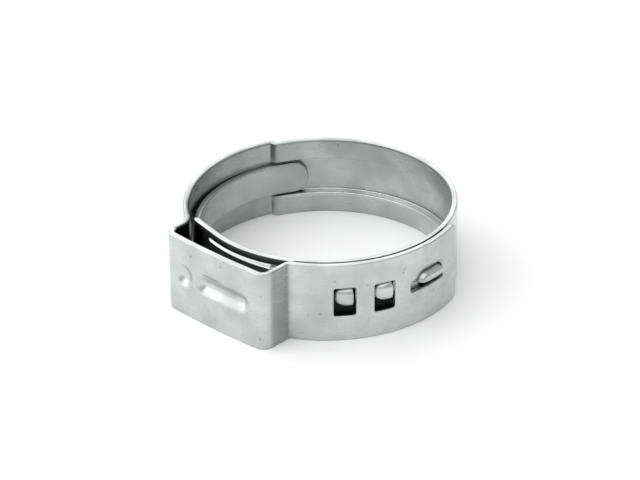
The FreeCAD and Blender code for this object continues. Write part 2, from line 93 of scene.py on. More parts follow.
def angle(title, about, degrees):
    """A property that holds an angle."""
    return FloatProperty(name=title, description=about, default=math.radians(degrees),
                         unit="ROTATION", subtype="ANGLE")


def number(title, about, value):
    """A property that holds a plain number."""
    return FloatProperty(name=title, description=about, default=value)


def colour(title, about, sheet_value):
    """A property that holds a colour, given as a hex value in sRGB."""
    return FloatVectorProperty(name=title, description=about, default=linear(sheet_value),
                               subtype="COLOR", size=4, min=0.0, max=1.0)


def linear(sheet_value):
    """The linear colour of an sRGB hex value."""
    channels = [int(sheet_value[at:at + 2], 16) / 255 for at in (0, 2, 4)]
    return tuple(c / 12.92 if c <= 0.04045 else ((c + 0.055) / 1.055) ** 2.4
                 for c in channels) + (1.0,)


class ClampStripSizes(bpy.types.PropertyGroup):
    """Sizes of the strip and of the ring that it makes."""

    bore_radius: length("Bore radius", "Inside radius of the ring", SEAT["dims"]["r_mm"])
    width: length("Width", "Width of the strip", (HIGH.z - LOW.z) / MM)
    thickness: length("Thickness", "Thickness of the strip", 0.5)
    layer_gap: length("Layer gap", "Clearance between two layers of strip", 0.05)
    edge_rounding: length("Edge rounding", "Radius on every cut edge of the strip", 0.1)
    free_end_at: angle("Free end", "Angle of the free end of the outer layer", 21.3)
    unbent_from: angle("Unbent from", "Angle from which the strip runs straight to that end", 14.5)
    free_end_corner: length("Free end corner", "Corner radius of the free end", 0.6)
    shoulder_at: angle("Shoulder", "Angle where the full width narrows to the tongue", -119.5)
    shoulder_lift: length("Shoulder lift", "How far outside the ring the straight runs meet", 0.5)
    shoulder_bend: length("Shoulder bend", "Centreline radius of the bend at the shoulder", 2.0)
    tongue_tip_at: angle("Tongue tip", "Angle of the tip of the tongue", -218.5)
    tongue_width: length("Tongue width", "Width of the tongue", 2.8)
    tongue_tip_flat: length("Tongue tip flat", "Flat left between the tip's rounded corners", 0.2)
    joggle_at: angle("Step", "Angle where the side strips start to step outward", 155.3)
    joggle_bend: length("Step bend", "Centreline radius of the two bends of the step", 0.4)
    outer_lift: length("Outer layer lift", "How much the left outer layer's centre is set off", 0.6)


class ClampEarSizes(bpy.types.PropertyGroup):
    """Sizes of the ear and its dimples."""

    inside: length("Inside width", "Clear width between the legs of the ear", 10.35)
    aside: length("Ear offset", "Offset of the middle of the ear, away from the windows", -0.175)
    rise: length("Rise", "How far the ear's face stands out of the outer layer", 1.75)
    crown: length("Crown", "How much the ear's face bulges between its corners", 0.15)
    corner: length("Corner", "Inside bend radius at the ear's corners", 0.45)
    left_bend: length("Left foot bend", "Bend radius on the outside of the left foot", 1.5)
    right_bend: length("Right foot bend", "Bend radius on the outside of the right foot", 0.3)
    dimple_length: length("Dimple length", "Length of the dimple", 6.3)
    dimple_height: length("Dimple height", "Height of the dimple", 2.2)
    dimple_depth: length("Dimple depth", "Depth of the dimple", 0.45)
    dimple_aside: length("Dimple offset", "Offset of the dimple towards the windows", 1.05)
    dimple_raise: length("Dimple raise", "Offset of both dimples upward", 0.2)
    small_aside: length("Small dimple offset", "Offset of the small round dimple", -3.4)
    small_radius: length("Small dimple radius", "Radius of the small round dimple", 1.3)
    small_depth: length("Small dimple depth", "Depth of the small round dimple", 0.42)


class ClampPressedSizes(bpy.types.PropertyGroup):
    """Sizes of the windows and of what is pressed out of the strip."""

    channel_clearance: length("Channel clearance", "Clearance on each side of the tongue", 0.15)
    channel_wall: length("Channel wall", "Thickness left in each side wall of the channel", 0.35)
    channel_end_at: angle("Channel end", "Angle where the channel is last at full depth", 66.0)
    channel_run_out: angle("Channel run-out", "Angle in which the channel rises to nothing", 6.0)
    window_width: length("Window width", "Width of each window, round the ring", 1.8)
    window_height: length("Window height", "Height of each window", 2.55)
    window_raise: length("Window raise", "Offset of both windows upward", 0.03)
    window_corner: length("Window corner", "Corner radius of each window", 0.15)
    window_near_at: angle("Near window", "Angle of the window nearest the ear", -38.9)
    window_far_at: angle("Far window", "Angle of the second window", -21.9)
    hook_height: length("Hook height", "Height of each hook, along the axis", 1.8)
    hook_raise: length("Hook raise", "Offset of both hooks upward", 0.4)
    hook_run: length("Hook run", "Length over which each hook rises", 1.1)
    hook_rise: length("Hook rise", "How far each hook rises above the inner layer", 0.65)
    hook_face: length("Hook face", "Distance from a window's centre to the bearing face", 0.65)
    hook_crown: length("Hook crown", "Distance from a hook's crown to its face", 0.4)
    hook_wall: length("Hook wall", "Wall of each hook at its crown", 0.4)
    hook_side_wall: length("Hook side wall", "Wall of each hook at its two sides", 0.3)
    guide_window_at: angle("Guide window", "Angle of the window round the guide lug", 0.33)
    guide_window_length: length("Guide window length", "Length of that window", 3.94)
    guide_window_foot: length("Guide window foot", "Height of that window's lower edge", -0.42)
    guide_slot_top: length("Guide slot top", "Height of the window's low stretch", 0.62)
    guide_slot_run: length("Guide slot run", "Length of the window's low stretch", 0.72)
    guide_at: angle("Guide lug", "Angle of the middle of the guide lug", 2.1)
    guide_length: length("Guide length", "Length of the guide lug, round the ring", 2.95)
    guide_foot: length("Guide foot", "Height of the lug's sheared lower edge", 0.2)
    guide_top: length("Guide top", "Height of the top of the guide lug", 1.05)
    guide_corner: length("Guide corner", "Radius of the lug's two upper corners", 0.8)
    guide_proud: length("Guide proud", "How far the lug stands out of the outer layer", 0.3)
    guide_clearance: length("Guide clearance", "Clearance between the lug and its window", 0.1)
    guide_roll_over: length("Guide roll-over", "Width of the strip drawn in round that window's arch", 0.4)
    guide_drawn_in: length("Guide drawn in", "How far the strip is drawn in at the arch", 0.12)
    lug_wall: length("Lug wall", "Wall of the guide lug", 0.35)
    shear_gap: length("Shear gap", "Width of the sheared opening under a pressed lug", 0.06)
    bead_from: angle("Bead start", "Angle where the bead is first pressed out", -104.0)
    bead_start: length("Bead start depth", "Depth of the bead at that angle", 0.2)
    bead_to: angle("Bead crest", "Angle where that bead is deepest", -68.0)
    bead_run_in: angle("Bead run-in", "Angle in which the bead first leaves the ring", 5.0)
    bead_run_out: angle("Bead run-out", "Angle in which the bead falls back", 3.5)
    bead_offset: length("Bead offset", "How much the centre of the bead's curve is set off", 1.85)
    bead_margin: length("Bead margin", "Width of flat strip above and below the bead", 0.65)


class ClampSteelLook(bpy.types.PropertyGroup):
    """Colour and grain of the stainless strip."""

    rolled: colour("Rolled face", "Colour of the cold-rolled faces", "C7CAC9")
    sheared: colour("Sheared edge", "Colour of the cut edges", "C6C9C8")
    # A dark colour: painted shade over recesses, seams, the ear's cavity and the inner side, and real
    # specks of grime.
    dirt_and_shade: colour("Dirt", "Colour of the oil and dirt in the recesses", "1A1C1B")
    # Real rolling lines lie closer together.  These are drawn as coarse as it takes to show them.
    grain: length("Grain", "Spacing of the rolling lines across the strip", 0.09)
    grain_length: length("Grain length", "Length of one rolling line", 6.0)
    pit: length("Pit", "Size of the small dents left by tumbling", 0.3)
    dull_patch: length("Dull patch", "Size of the dull patches in the finish", 3.3)
    speck: length("Speck", "Size of the blots that the dark specks are cut from", 0.8)
    roughness: number("Roughness", "Roughness of the rolled faces", 0.29)


class ClampPaintedShadeLook(bpy.types.PropertyGroup):
    """Where shade is painted on the strip, and how dark: 0 is none and 1 is black."""

    # All of these paint shade into the strip's colour, where the light falls less: over the inner side, on
    # the right leg, in the seam, on the bead, inside the ear and along a crease.
    inner_shade: number("Film", "Oil film all over the ring's inner side", 0.05)
    inner_shade_left: number("Film on the left", "What that film gains towards the left", 0.13)
    inner_shade_left_from: angle("Film gain start", "Angle where that gain starts", 70.0)
    inner_shade_left_to: angle("Film gain end", "Angle where that gain is complete", 125.0)
    inner_shade_outer: number("Film in the outer layer", "What it gains inside the outer layer", 0.17)
    inner_shade_tongue: number("Film on the tongue", "Oil film on the tongue and the shoulder", 0.26)
    inner_shade_tongue_to: angle("Tongue film end", "Angle where the film on the tongue ends", -100.0)
    # A painted highlight: the painted shade is left off the channel's lower ledge from this angle on.
    ledge_highlight_from: angle("Rubbed ledge", "Angle from which the channel's ledge is rubbed clean", 0.0)
    leg: number("Right leg", "Stain on the outside of the ear's right leg", 0.35)
    seam: number("Seam", "Dirt in the seam between the two layers", 0.85)
    bead: number("Bead", "Dirt along the bead's upper edge", 0.9)
    foot: number("Left foot", "Dirt inside the ear at its left foot", 0.95)
    shoulder: number("Shoulder", "Dirt on the outside of the bent shoulder", 0.95)
    crease: number("Crease", "Dirt along the long dimple's upper edge", 0.6)


class ClampStudioLook(bpy.types.PropertyGroup):
    """The floor, the lamps and the camera."""

    floor: colour("Floor", "Colour of the floor", "F4F4F4")
    azimuth: angle("Azimuth", "Direction of the camera round the part", 43.5)
    elevation: angle("Elevation", "Height of the camera above the horizon", 29.06)
    distance: length("Distance", "Distance of the camera from the middle of the ring", 291.8)
    aim_x: number("Aim across", "Pixel column where the ring's middle is seen", 325.85)
    aim_y: number("Aim down", "Pixel row where the ring's middle is seen", 234.48)
    roll: angle("Roll", "Turn of the camera about its line of sight", 0.35)
    focal: number("Focal length", f"Focal length in pixels of a {IMAGE_WIDTH}-pixel image", 3480.0)
    sky: number("Sky", "Strength of the even light from all round", 0.58)
    main: number("Main light", "Radiance of the high softbox in front", 1.05)
    back: number("Back light", "Radiance of the softbox behind the part", 1.35)
    side: number("Side light", "Radiance of the low softbox beside the ear", 1.35)


def polar(radius, at, centre=Vector((0.0, 0.0))):
    """The point at a radius and an angle round a centre."""
    return centre + Vector((radius * math.cos(at), radius * math.sin(at)))


def heading(point, centre):
    """The angle of a point seen from a centre."""
    return math.atan2(point.y - centre.y, point.x - centre.x)


def bend(centre, radius, start, end, turn=1):
    """A round stretch of the centreline: its length, its radius and the point at a share of it."""
    sweep = end - start
    while sweep * turn <= 0:
        sweep += turn * 2 * math.pi
    return abs(sweep) * radius, radius, lambda share: polar(radius, start + sweep * share, centre)


def straight(start, end):
    """A straight stretch of the centreline, in the same form."""
    return (end - start).length, math.inf, lambda share: start.lerp(end, share)


class Centreline:
    """The path that the blank is rolled along, and where each of its stretches begins."""

    def __init__(self, strip, ear):
        half = strip.thickness / 2
        self.inner = strip.bore_radius + half
        self.outer = self.inner + strip.thickness + strip.layer_gap
        origin = Vector((0.0, 0.0))

        # The end of the full width is unbent, so it leaves the ring, and the tongue bends back.
        knee = strip.shoulder_bend
        tilt = math.acos(self.inner / (self.inner + strip.shoulder_lift))
        self.ring_from, tongue_to = strip.shoulder_at + tilt, strip.shoulder_at - tilt
        knee_centre = polar((self.inner - knee) / math.cos(tilt), strip.shoulder_at)

        # The side strips step outward by two equal bends that meet halfway.
        step = strip.joggle_bend
        near, far = self.inner + step, self.outer - step
        cosine = (near ** 2 + far ** 2 - (2 * step) ** 2) / (2 * near * far)
        self.joggle_end = strip.joggle_at + math.acos(cosine)
        first, second = polar(near, strip.joggle_at), polar(far, self.joggle_end)
        middle = (first + second) / 2

        # The outer layer leaves the ring slowly on its way to the left foot of the ear.
        lift = strip.outer_lift
        left_centre = polar(-lift, self.joggle_end)
        left_radius = self.outer + lift
        half_ear = ear.inside / 2 + half
        left_leg, right_leg = ear.aside - half_ear, ear.aside + half_ear
        left_bend, right_bend = ear.left_bend + half, ear.right_bend + half
        left_foot = Vector((left_leg - left_bend, left_centre.y))
        left_foot.y -= math.sqrt((left_radius + left_bend) ** 2 - (left_foot.x - left_centre.x) ** 2)
        right_foot = Vector((right_leg + right_bend, 0.0))
        right_foot.y -= math.sqrt((self.outer + right_bend) ** 2 - right_foot.x ** 2)
        left_at = heading(left_foot, left_centre)
        self.right_at = heading(right_foot, origin)

        # The ear's face is a shallow arc that runs smoothly into the two corners.
        face, corner = self.outer + ear.rise, ear.corner + half
        reach = half_ear - corner
        face_radius = corner + (reach ** 2 + ear.crown ** 2) / (2 * ear.crown)
        face_centre = Vector((ear.aside, face_radius - face))
        slope = math.asin(reach / (face_radius - corner))
        quarter, brow = math.pi / 2, ear.crown + corner - face
        left_corner, right_corner = Vector((left_leg + corner, brow)), Vector((right_leg - corner, brow))

        # The last stretch, up to the free end, is unbent as well.
        leaving = polar(self.outer, strip.unbent_from)
        free_run = polar(self.outer * math.tan(strip.free_end_at - strip.unbent_from),
                         strip.unbent_from + quarter)

        stretches = {
            "tongue": bend(origin, self.inner, strip.tongue_tip_at, tongue_to),
            "tongue_lift": straight(polar(self.inner, tongue_to), polar(knee, tongue_to, knee_centre)),
            "shoulder": bend(knee_centre, knee, tongue_to, self.ring_from),
            "unbent": straight(polar(knee, self.ring_from, knee_centre),
                               polar(self.inner, self.ring_from)),
            "inner": bend(origin, self.inner, self.ring_from, strip.joggle_at),
            "step_out": bend(first, step, strip.joggle_at - math.pi, heading(middle, first), -1),
            "step_in": bend(second, step, heading(middle, second), self.joggle_end),
            "outer_left": bend(left_centre, left_radius, self.joggle_end, left_at),
            "left_foot": bend(left_foot, left_bend, left_at + math.pi, 0.0, -1),
            "left_leg": straight(Vector((left_leg, left_foot.y)), Vector((left_leg, brow))),
            "left_corner": bend(left_corner, corner, 2 * quarter, 3 * quarter - slope),
            "face": bend(face_centre, face_radius, 3 * quarter - slope, 3 * quarter + slope),
            "right_corner": bend(right_corner, corner, 3 * quarter + slope, 4 * quarter),
            "right_leg": straight(Vector((right_leg, brow)), Vector((right_leg, right_foot.y))),
            "right_foot": bend(right_foot, right_bend, 2 * quarter, self.right_at + 2 * quarter, -1),
            "outer_right": bend(origin, self.outer, self.right_at, strip.unbent_from),
            "free_end": straight(leaving, leaving + free_run),
        }
        self.stretches = stretches
        self.begins = {}
        at = 0.0
        for name, (span, radius, place) in stretches.items():
            self.begins[name] = at
            at += span
        self.total = at
        self.shoulder = self.begins["shoulder"] + stretches["shoulder"][0] / 2

    def points(self, fine=0.1 * MM, per_turn=160):
        """Points along the whole centreline, close enough to look round."""
        chain = []
        for span, radius, place in self.stretches.values():
            reach = min(fine, 2 * math.pi * radius / per_turn)
            count = max(1, math.ceil(span / reach))
            chain += [place(step / count) for step in range(count)]
        return chain + [place(1.0)]

    def inside(self, at):
        """Where on the blank an angle of the inner layer lies."""
        return self.begins["inner"] + (at - self.ring_from) * self.inner

    def outside(self, at):
        """Where on the blank an angle of the outer layer, right of the ear, lies."""
        return self.begins["outer_right"] + (at - self.right_at) * self.outer


def soft_step(value, low, high):
    """Rises smoothly from 0 at low to 1 at high."""
    share = np.clip((value - low) / (high - low), 0.0, 1.0)
    return share * share * (3 - 2 * share)


def spread(start, end, step):
    """Numbers from start to end, both included, no further apart than a step."""
    return np.linspace(start, end, max(2, math.ceil(abs(end - start) / step) + 1))


def corner_points(centre, radius, start, end, step):
    """Points round one corner of an outline."""
    turns = spread(start, end, max(step / max(radius, step), FACET))
    return [(centre[0] + radius * math.cos(t), centre[1] + radius * math.sin(t)) for t in turns]


def edge_points(start, end, stations, step):
    """Points along one straight edge, without its last: at the stations where it runs along X."""
    (x0, z0), (x1, z1) = start, end
    if abs(x1 - x0) > abs(z1 - z0):
        low, high = min(x0, x1), max(x0, x1)
        margin = step / 3
        xs = [x for x in stations if low + margin < x < high - margin]
        xs = [x0] + (xs if x1 > x0 else xs[::-1])
        return [(x, z0 + (z1 - z0) * (x - x0) / (x1 - x0)) for x in xs]
    count = max(1, math.ceil(abs(z1 - z0) / step))
    return [(x0 + (x1 - x0) * k / count, z0 + (z1 - z0) * k / count) for k in range(count)]


def close_loop(pieces, stations, step):
    """One loop of points from corner arcs, with the straight edges between them filled."""
    loop = []
    for index, arc in enumerate(pieces):
        follower = pieces[(index + 1) % len(pieces)]
        loop += arc[:-1]
        loop += edge_points(arc[-1], follower[0], stations, step)
    return np.array(loop)


def box_loop(x0, x1, z0, z1, radii, stations, step):
    """A rectangle with a radius for each corner, from the lower left, counter-clockwise."""
    quarter = math.pi / 2
    a, b, c, d = radii
    places = [(x0 + a, z0 + a, a, 2), (x1 - b, z0 + b, b, 3), (x1 - c, z1 - c, c, 0),
              (x0 + d, z1 - d, d, 1)]
    arcs = [corner_points((x, z), radius, quarter * k, quarter * (k + 1), step)
            for x, z, radius, k in places]
    return close_loop(arcs, stations, step)


def blank_outline(line, strip, stations, step):
    """The outer edge of the blank: tongue, shoulders and free end."""
    tongue, side = strip.tongue_width / 2, strip.width / 2
    tip, end = (strip.tongue_width - strip.tongue_tip_flat) / 2, strip.free_end_corner
    shoulder, last = line.shoulder, line.total
    quarter = math.pi / 2
    arcs = [
        corner_points((tip, tip - tongue), tip, 2 * quarter, 3 * quarter, step),
        [(shoulder, -tongue)],
        [(shoulder, -side)],
        corner_points((last - end, end - side), end, -quarter, 0.0, step),
        corner_points((last - end, side - end), end, 0.0, quarter, step),
        [(shoulder, side)],
        [(shoulder, tongue)],
        corner_points((tip, tongue - tip), tip, quarter, 2 * quarter, step),
    ]
    return close_loop(arcs, stations, step)


def guide_window_loop(line, pressed, step):
    """The window round the guide lug: an arch over the lug, and a low slot that runs on beside it."""
    quarter, rounding = math.pi / 2, pressed.window_corner
    middle, side = line.outside(pressed.guide_window_at), pressed.guide_window_length / 2
    x0, x1 = middle - side, middle + side
    foot, slot_top = pressed.guide_window_foot, pressed.guide_slot_top
    radius = pressed.guide_corner + pressed.guide_clearance
    crown = pressed.guide_top - pressed.guide_corner
    arch_x = x0 + pressed.guide_slot_run + radius
    # The arch comes down on the slot's upper edge.
    landing = 2 * quarter - math.asin(min(1.0, max(0.0, slot_top - crown) / radius))
    arcs = [
        corner_points((x0 + rounding, foot + rounding), rounding, 2 * quarter, 3 * quarter, step),
        corner_points((x1 - rounding, foot + rounding), rounding, 3 * quarter, 4 * quarter, step),
        corner_points((x1 - radius, crown), radius, 0.0, quarter, step),
        corner_points((arch_x, crown), radius, quarter, landing, step),
        corner_points((x0 + rounding, slot_top - rounding), rounding, quarter, 2 * quarter, step),
    ]
    return close_loop(arcs, spread(x0, x1, step), step)


def inset(loop, depth):
    """A loop moved to its left, into the material, by a distance."""
    along = np.roll(loop, -1, axis=0) - loop
    along /= np.linalg.norm(along, axis=1)[:, None]
    left = np.stack([-along[:, 1], along[:, 0]], axis=1)
    before = np.roll(left, 1, axis=0)
    return loop + depth * (before + left) / (1 + (before * left).sum(axis=1))[:, None]


def inside_loops(points, loops):
    """Which points lie in the material: an odd number of edges is crossed on the way out."""
    crossings = np.zeros(len(points), dtype=int)
    for loop in loops:
        follower = np.roll(loop, -1, axis=0)
        for (x0, z0), (x1, z1) in zip(loop, follower):
            if z0 == z1:
                continue
            spans = (points[:, 1] < z0) != (points[:, 1] < z1)
            cross_at = x0 + (points[:, 1] - z0) * (x1 - x0) / (z1 - z0)
            crossings += spans & (points[:, 0] < cross_at)
    return crossings % 2 == 1


def patch(x0, x1, z0, z1, step_x, step_z):
    """A rectangle of the blank that is filled with points at even steps."""
    xs, zs = spread(x0, x1, step_x), spread(z0, z1, step_z)
    return np.stack(np.meshgrid(xs, zs), axis=-1).reshape(-1, 2)


def drop_near(points, loops, reach):
    """Leaves out the points that lie closer to a loop than a distance."""
    fence = np.concatenate(loops)
    tree = kdtree.KDTree(len(fence))
    for index, (x, z) in enumerate(fence):
        tree.insert((x, z, 0.0), index)
    tree.balance()
    clear = [tree.find((x, z, 0.0))[2] > reach for x, z in points]
    return points[np.array(clear)]


class Blank:
    """The flat blank: its outline, its openings, what is pressed out of it and where shade is painted."""

    # Spacing of its points: on the plain strip, round tight bends, and on pressed walls.
    COARSE = 0.3 * MM
    TIGHT = 0.07 * MM
    FINE = 0.05 * MM
    # Points closer than this to a rim are left out.
    CROWDED = 0.03 * MM
    # Points closer together than this, in millimetres, are one.
    SAME_SPOT = 1e-5
    # Where each wall of the channel starts and stops to slope, counted from the channel's edge.
    WALL_OUTSIDE = (0.22 * MM, 0.45 * MM)
    WALL_INSIDE = (-0.03 * MM, 0.13 * MM)
    # Width of the slope at the bead's two long edges.
    BEAD_SLOPE = 0.16 * MM
    # Where a dimple's floor ends and where its slope ends, as shares of its half height or radius.
    LONG_DIMPLE_SLOPE = (0.0, 1.05)
    SMALL_DIMPLE_SLOPE = (0.15, 1.0)
    # How full a hook's dome is: along the strip, across it, and in the curve of its height.
    HOOK_DOME = (1.8, 3.2, 0.55)
    # How full the lug is, and how far in from its outline it reaches its full height.
    LUG_DOME = (2.2, 0.65)
    LUG_SLOPE = 0.5 * MM

    def __init__(self, line, strip, ear, pressed, dirt_and_shade):
        self.line, self.strip, self.ear, self.pressed, self.dirt_and_shade = line, strip, ear, pressed, dirt_and_shade
        self.face_middle = line.begins["face"] + line.stretches["face"][0] / 2
        self.windows = (pressed.window_near_at, pressed.window_far_at)
        self.hooks = [line.inside(at) for at in self.windows]
        self.guide = line.inside(pressed.guide_at)
        self.channel_edge = strip.tongue_width / 2 + pressed.channel_clearance
        self.bead_edge = strip.width / 2 - pressed.bead_margin
        self.stations = self.make_stations()
        self.loops = self.make_loops()

    def make_stations(self):
        """The places along the blank where its long edges have points."""
        stations = []
        for name, (span, radius, place) in self.line.stretches.items():
            begin = self.line.begins[name]
            step = self.COARSE if radius > self.strip.bore_radius / 2 and span > MM else self.TIGHT
            if name == "face":
                step = self.COARSE / 2
            stations += list(spread(begin, begin + span, step)[:-1])
        return stations

    def make_loops(self):
        """The edges of the blank and of each opening, with the material on their left."""
        pressed, close = self.pressed, 2 * self.TIGHT
        loops = [blank_outline(self.line, self.strip, self.stations, self.COARSE)]
        side, tall, lift = pressed.window_width / 2, pressed.window_height / 2, pressed.window_raise
        for at in self.windows:
            middle = self.line.outside(at)
            fine = spread(middle - side, middle + side, close)
            loops.append(box_loop(middle - side, middle + side, lift - tall, lift + tall,
                                  [pressed.window_corner] * 4, fine, close)[::-1])
        loops.append(guide_window_loop(self.line, pressed, close)[::-1])

        # The sheared slits: beside each hook's bearing face, and under the lug.
        gap, tall, lift = pressed.shear_gap, pressed.hook_height / 2, pressed.hook_raise
        slit_corners = [gap / 4] * 4
        for middle in self.hooks:
            face = middle + pressed.hook_face
            loops.append(box_loop(face, face + gap, lift - tall, lift + tall,
                                  slit_corners, [], close)[::-1])
        side, foot = pressed.guide_length / 2, pressed.guide_foot
        fine = spread(self.guide - side, self.guide + side, close)
        loops.append(box_loop(self.guide - side, self.guide + side, foot - gap, foot,
                              slit_corners, fine, close)[::-1])
        return loops

    def close_patches(self):
        """Yields each patch that needs closer points: its X and Z ranges and its two steps."""
        line, pressed, ear = self.line, self.pressed, self.ear
        coarse, tight, fine = self.COARSE, self.TIGHT, self.FINE
        channel = (line.inside(pressed.channel_end_at - pressed.channel_run_out),
                   line.begins["outer_left"])
        floor, brow = self.channel_edge - 2 * fine, self.channel_edge + pressed.channel_wall + 3 * fine
        yield *channel, -brow, -floor, coarse, fine
        yield *channel, floor, brow, coarse, fine

        bead_from = line.inside(pressed.bead_from - pressed.bead_run_in)
        bead_to = line.inside(pressed.bead_to + pressed.bead_run_out)
        low, high = self.bead_edge - 5 * fine, self.bead_edge + 2 * fine
        yield bead_from, bead_to, -high, -low, coarse / 2, fine
        yield bead_from, bead_to, low, high, coarse / 2, fine
        yield line.inside(pressed.bead_to) - 0.4 * MM, bead_to + 0.2 * MM, -low, low, tight, coarse

        # The dimples have slopes long enough for a wider step.
        step = 0.12 * MM
        left = ear.small_aside - ear.small_radius - 0.3 * MM
        right = ear.dimple_aside + ear.dimple_length / 2 + 0.7 * MM
        tall = ear.small_radius + 4 * step
        yield (self.face_middle + left, self.face_middle + right,
               ear.dimple_raise - tall, ear.dimple_raise + tall, step, step)

        step = 0.1 * MM
        around = pressed.guide_roll_over + step
        window, side = line.outside(pressed.guide_window_at), pressed.guide_window_length / 2 + around
        yield (window - side, window + side, pressed.guide_slot_top,
               pressed.guide_top + pressed.guide_clearance + around + step, step, step)

        # A hook's patch starts a little before the hook does.
        before, beyond = 1.15 * pressed.hook_run, pressed.hook_face + coarse
        tall = pressed.hook_height / 2 + coarse
        for hook in self.hooks:
            yield (hook - before, hook + beyond, pressed.hook_raise - tall,
                   pressed.hook_raise + tall, fine, fine)
        side = pressed.guide_length / 2 + coarse
        yield (self.guide - side, self.guide + side, pressed.guide_foot - coarse,
               pressed.guide_top + coarse, fine, fine)

    def fill(self):
        """Points inside the outline: even on the plain strip, close where it is pressed."""
        side = self.strip.width / 2 - self.COARSE
        points = []
        for name, (span, radius, place) in self.line.stretches.items():
            begin = self.line.begins[name]
            step = self.TIGHT if radius < self.strip.bore_radius / 2 else self.COARSE
            points.append(patch(begin, begin + span, -side, side, step, self.COARSE))
        for x0, x1, z0, z1, step_x, step_z in self.close_patches():
            kept = []
            for group in points:
                within = ((group[:, 0] > x0 - step_x) & (group[:, 0] < x1 + step_x)
                          & (group[:, 1] > z0 - step_z) & (group[:, 1] < z1 + step_z))
                kept.append(group[~within])
            points = kept + [patch(x0, x1, z0, z1, step_x, step_z)]
        return np.concatenate(points)

    def channel(self, x, z, outside):
        """The channel for the tongue, pressed outward by one layer."""
        line, pressed = self.line, self.pressed
        # Its depth is what the strip's centreline still lacks to the outer layer's radius.
        chain = line.points()
        radii = np.array([point.length for point in chain])
        places = np.array([Vector((a.x - b.x, a.y - b.y)).length for a, b in zip(chain[1:], chain)])
        along = np.concatenate([[0.0], np.cumsum(places)])
        depth = np.clip(line.outer - np.interp(x, along, radii), 0.0, None)
        deep = line.inside(pressed.channel_end_at)
        depth = depth * soft_step(x, line.inside(pressed.channel_end_at - pressed.channel_run_out), deep)
        depth[(x > line.begins["outer_left"]) | (x < line.shoulder)] = 0.0
        low, high = self.WALL_OUTSIDE if outside else self.WALL_INSIDE
        return depth * (1 - soft_step(np.abs(z) - self.channel_edge, low, high))

    def bead(self, x, z):
        """The shallow bead under the ear: a slow rise, and a quick fall at its end."""
        line, pressed = self.line, self.pressed
        at = (x - line.begins["inner"]) / line.inner + line.ring_from
        surface = self.strip.bore_radius
        reach = surface + pressed.bead_start + pressed.bead_offset
        gap = np.clip(at, pressed.bead_from, pressed.bead_to) - pressed.bead_from
        crest = (np.sqrt(reach ** 2 - (pressed.bead_offset * np.sin(gap)) ** 2)
                 - pressed.bead_offset * np.cos(gap)) - surface
        rise = soft_step(at, pressed.bead_from - pressed.bead_run_in, pressed.bead_from)
        fall = 1 - soft_step(at, pressed.bead_to, pressed.bead_to + pressed.bead_run_out)
        flat = soft_step(np.abs(z), self.bead_edge - self.BEAD_SLOPE, self.bead_edge)
        return crest * rise * fall * (1 - flat)

    def dimples(self, x, z):
        """The long dimple and the small round one in the ear's face, pressed inward."""
        ear = self.ear
        x, z = x - self.face_middle, z - ear.dimple_raise
        reach = ear.dimple_height / 2
        straight_part = ear.dimple_length / 2 - reach
        across = np.hypot(np.maximum(np.abs(x - ear.dimple_aside) - straight_part, 0.0), z) / reach
        long_one = ear.dimple_depth * (1 - soft_step(across, *self.LONG_DIMPLE_SLOPE))
        across = np.hypot(x - ear.small_aside, z) / ear.small_radius
        round_one = ear.small_depth * (1 - soft_step(across, *self.SMALL_DIMPLE_SLOPE))
        return -np.maximum(long_one, round_one)

    def hook(self, x, z, middle, outside):
        """One load hook: a bulge that rises from the strip to a sheared bearing face."""
        pressed = self.pressed
        wall = 0.0 if outside else pressed.hook_side_wall
        crown = middle + pressed.hook_face - pressed.hook_crown
        run, tall = pressed.hook_run - wall, pressed.hook_height / 2 - wall
        rise = pressed.hook_rise
        if not outside:
            rise += self.strip.thickness - pressed.hook_wall
        along, across, fullness = self.HOOK_DOME
        u = np.clip((crown - x) / run, 0.0, None)
        v = np.abs(z - pressed.hook_raise) / tall
        dome = np.clip(1 - u ** along - v ** across, 0.0, None) ** fullness
        before_face = x < middle + pressed.hook_face + pressed.shear_gap / 2
        return np.where(before_face, rise * dome, 0.0)

    def guide_lug(self, x, z, outside):
        """The guide lug: a half-moon pressed out over its sheared lower edge."""
        pressed, strip = self.pressed, self.strip
        wall = 0.0 if outside else pressed.lug_wall
        top = pressed.guide_top - wall
        side, corner = pressed.guide_length / 2 - wall, max(pressed.guide_corner - wall, 0.0)
        across = np.abs(x - self.guide)
        beyond_x, beyond_z = across - (side - corner), z - (top - corner)
        rounded = corner - np.hypot(np.maximum(beyond_x, 0.0), np.maximum(beyond_z, 0.0))
        flat = np.minimum(side - across, top - z)
        depth = np.where((beyond_x > 0) & (beyond_z > 0), rounded, flat)
        rise = strip.thickness + strip.layer_gap + pressed.guide_proud
        if not outside:
            rise += strip.thickness - pressed.lug_wall
        steep, fullness = self.LUG_DOME
        share = np.clip(depth / self.LUG_SLOPE, 0.0, 1.0)
        dome = np.clip(1 - (1 - share) ** steep, 0.0, None) ** fullness
        return np.where(z > pressed.guide_foot - pressed.shear_gap / 2, rise * dome, 0.0)

    def roll_over(self, x, z):
        """The strip round the arch, drawn in a little as its window is sheared."""
        pressed, reach = self.pressed, self.pressed.guide_roll_over
        corner = pressed.guide_corner + pressed.guide_clearance
        side = pressed.guide_window_length / 2 - pressed.guide_slot_run / 2 - corner
        middle = self.line.outside(pressed.guide_window_at) + pressed.guide_slot_run / 2
        beyond_x = np.maximum(np.abs(x - middle) - side, 0.0)
        beyond_z = np.maximum(z - (pressed.guide_top - pressed.guide_corner), 0.0)
        away = np.hypot(beyond_x, beyond_z) - corner
        above = soft_step(z, pressed.guide_slot_top - reach, pressed.guide_slot_top)
        return -pressed.guide_drawn_in * (1 - soft_step(away, 0.0, reach)) * above

    def press(self, x, z, outside):
        """How far one side of the strip is moved outward at each of its points."""
        move = self.channel(x, z, outside) + self.bead(x, z) + self.dimples(x, z)
        if outside:
            move += self.roll_over(x, z)
        for middle in self.hooks:
            move += self.hook(x, z, middle, outside)
        return move + self.guide_lug(x, z, outside)

    def near_long_edge(self, z):
        """Which points lie on the strip's long edges or close to them."""
        return np.abs(z) > self.strip.width / 2 - 0.4 * MM

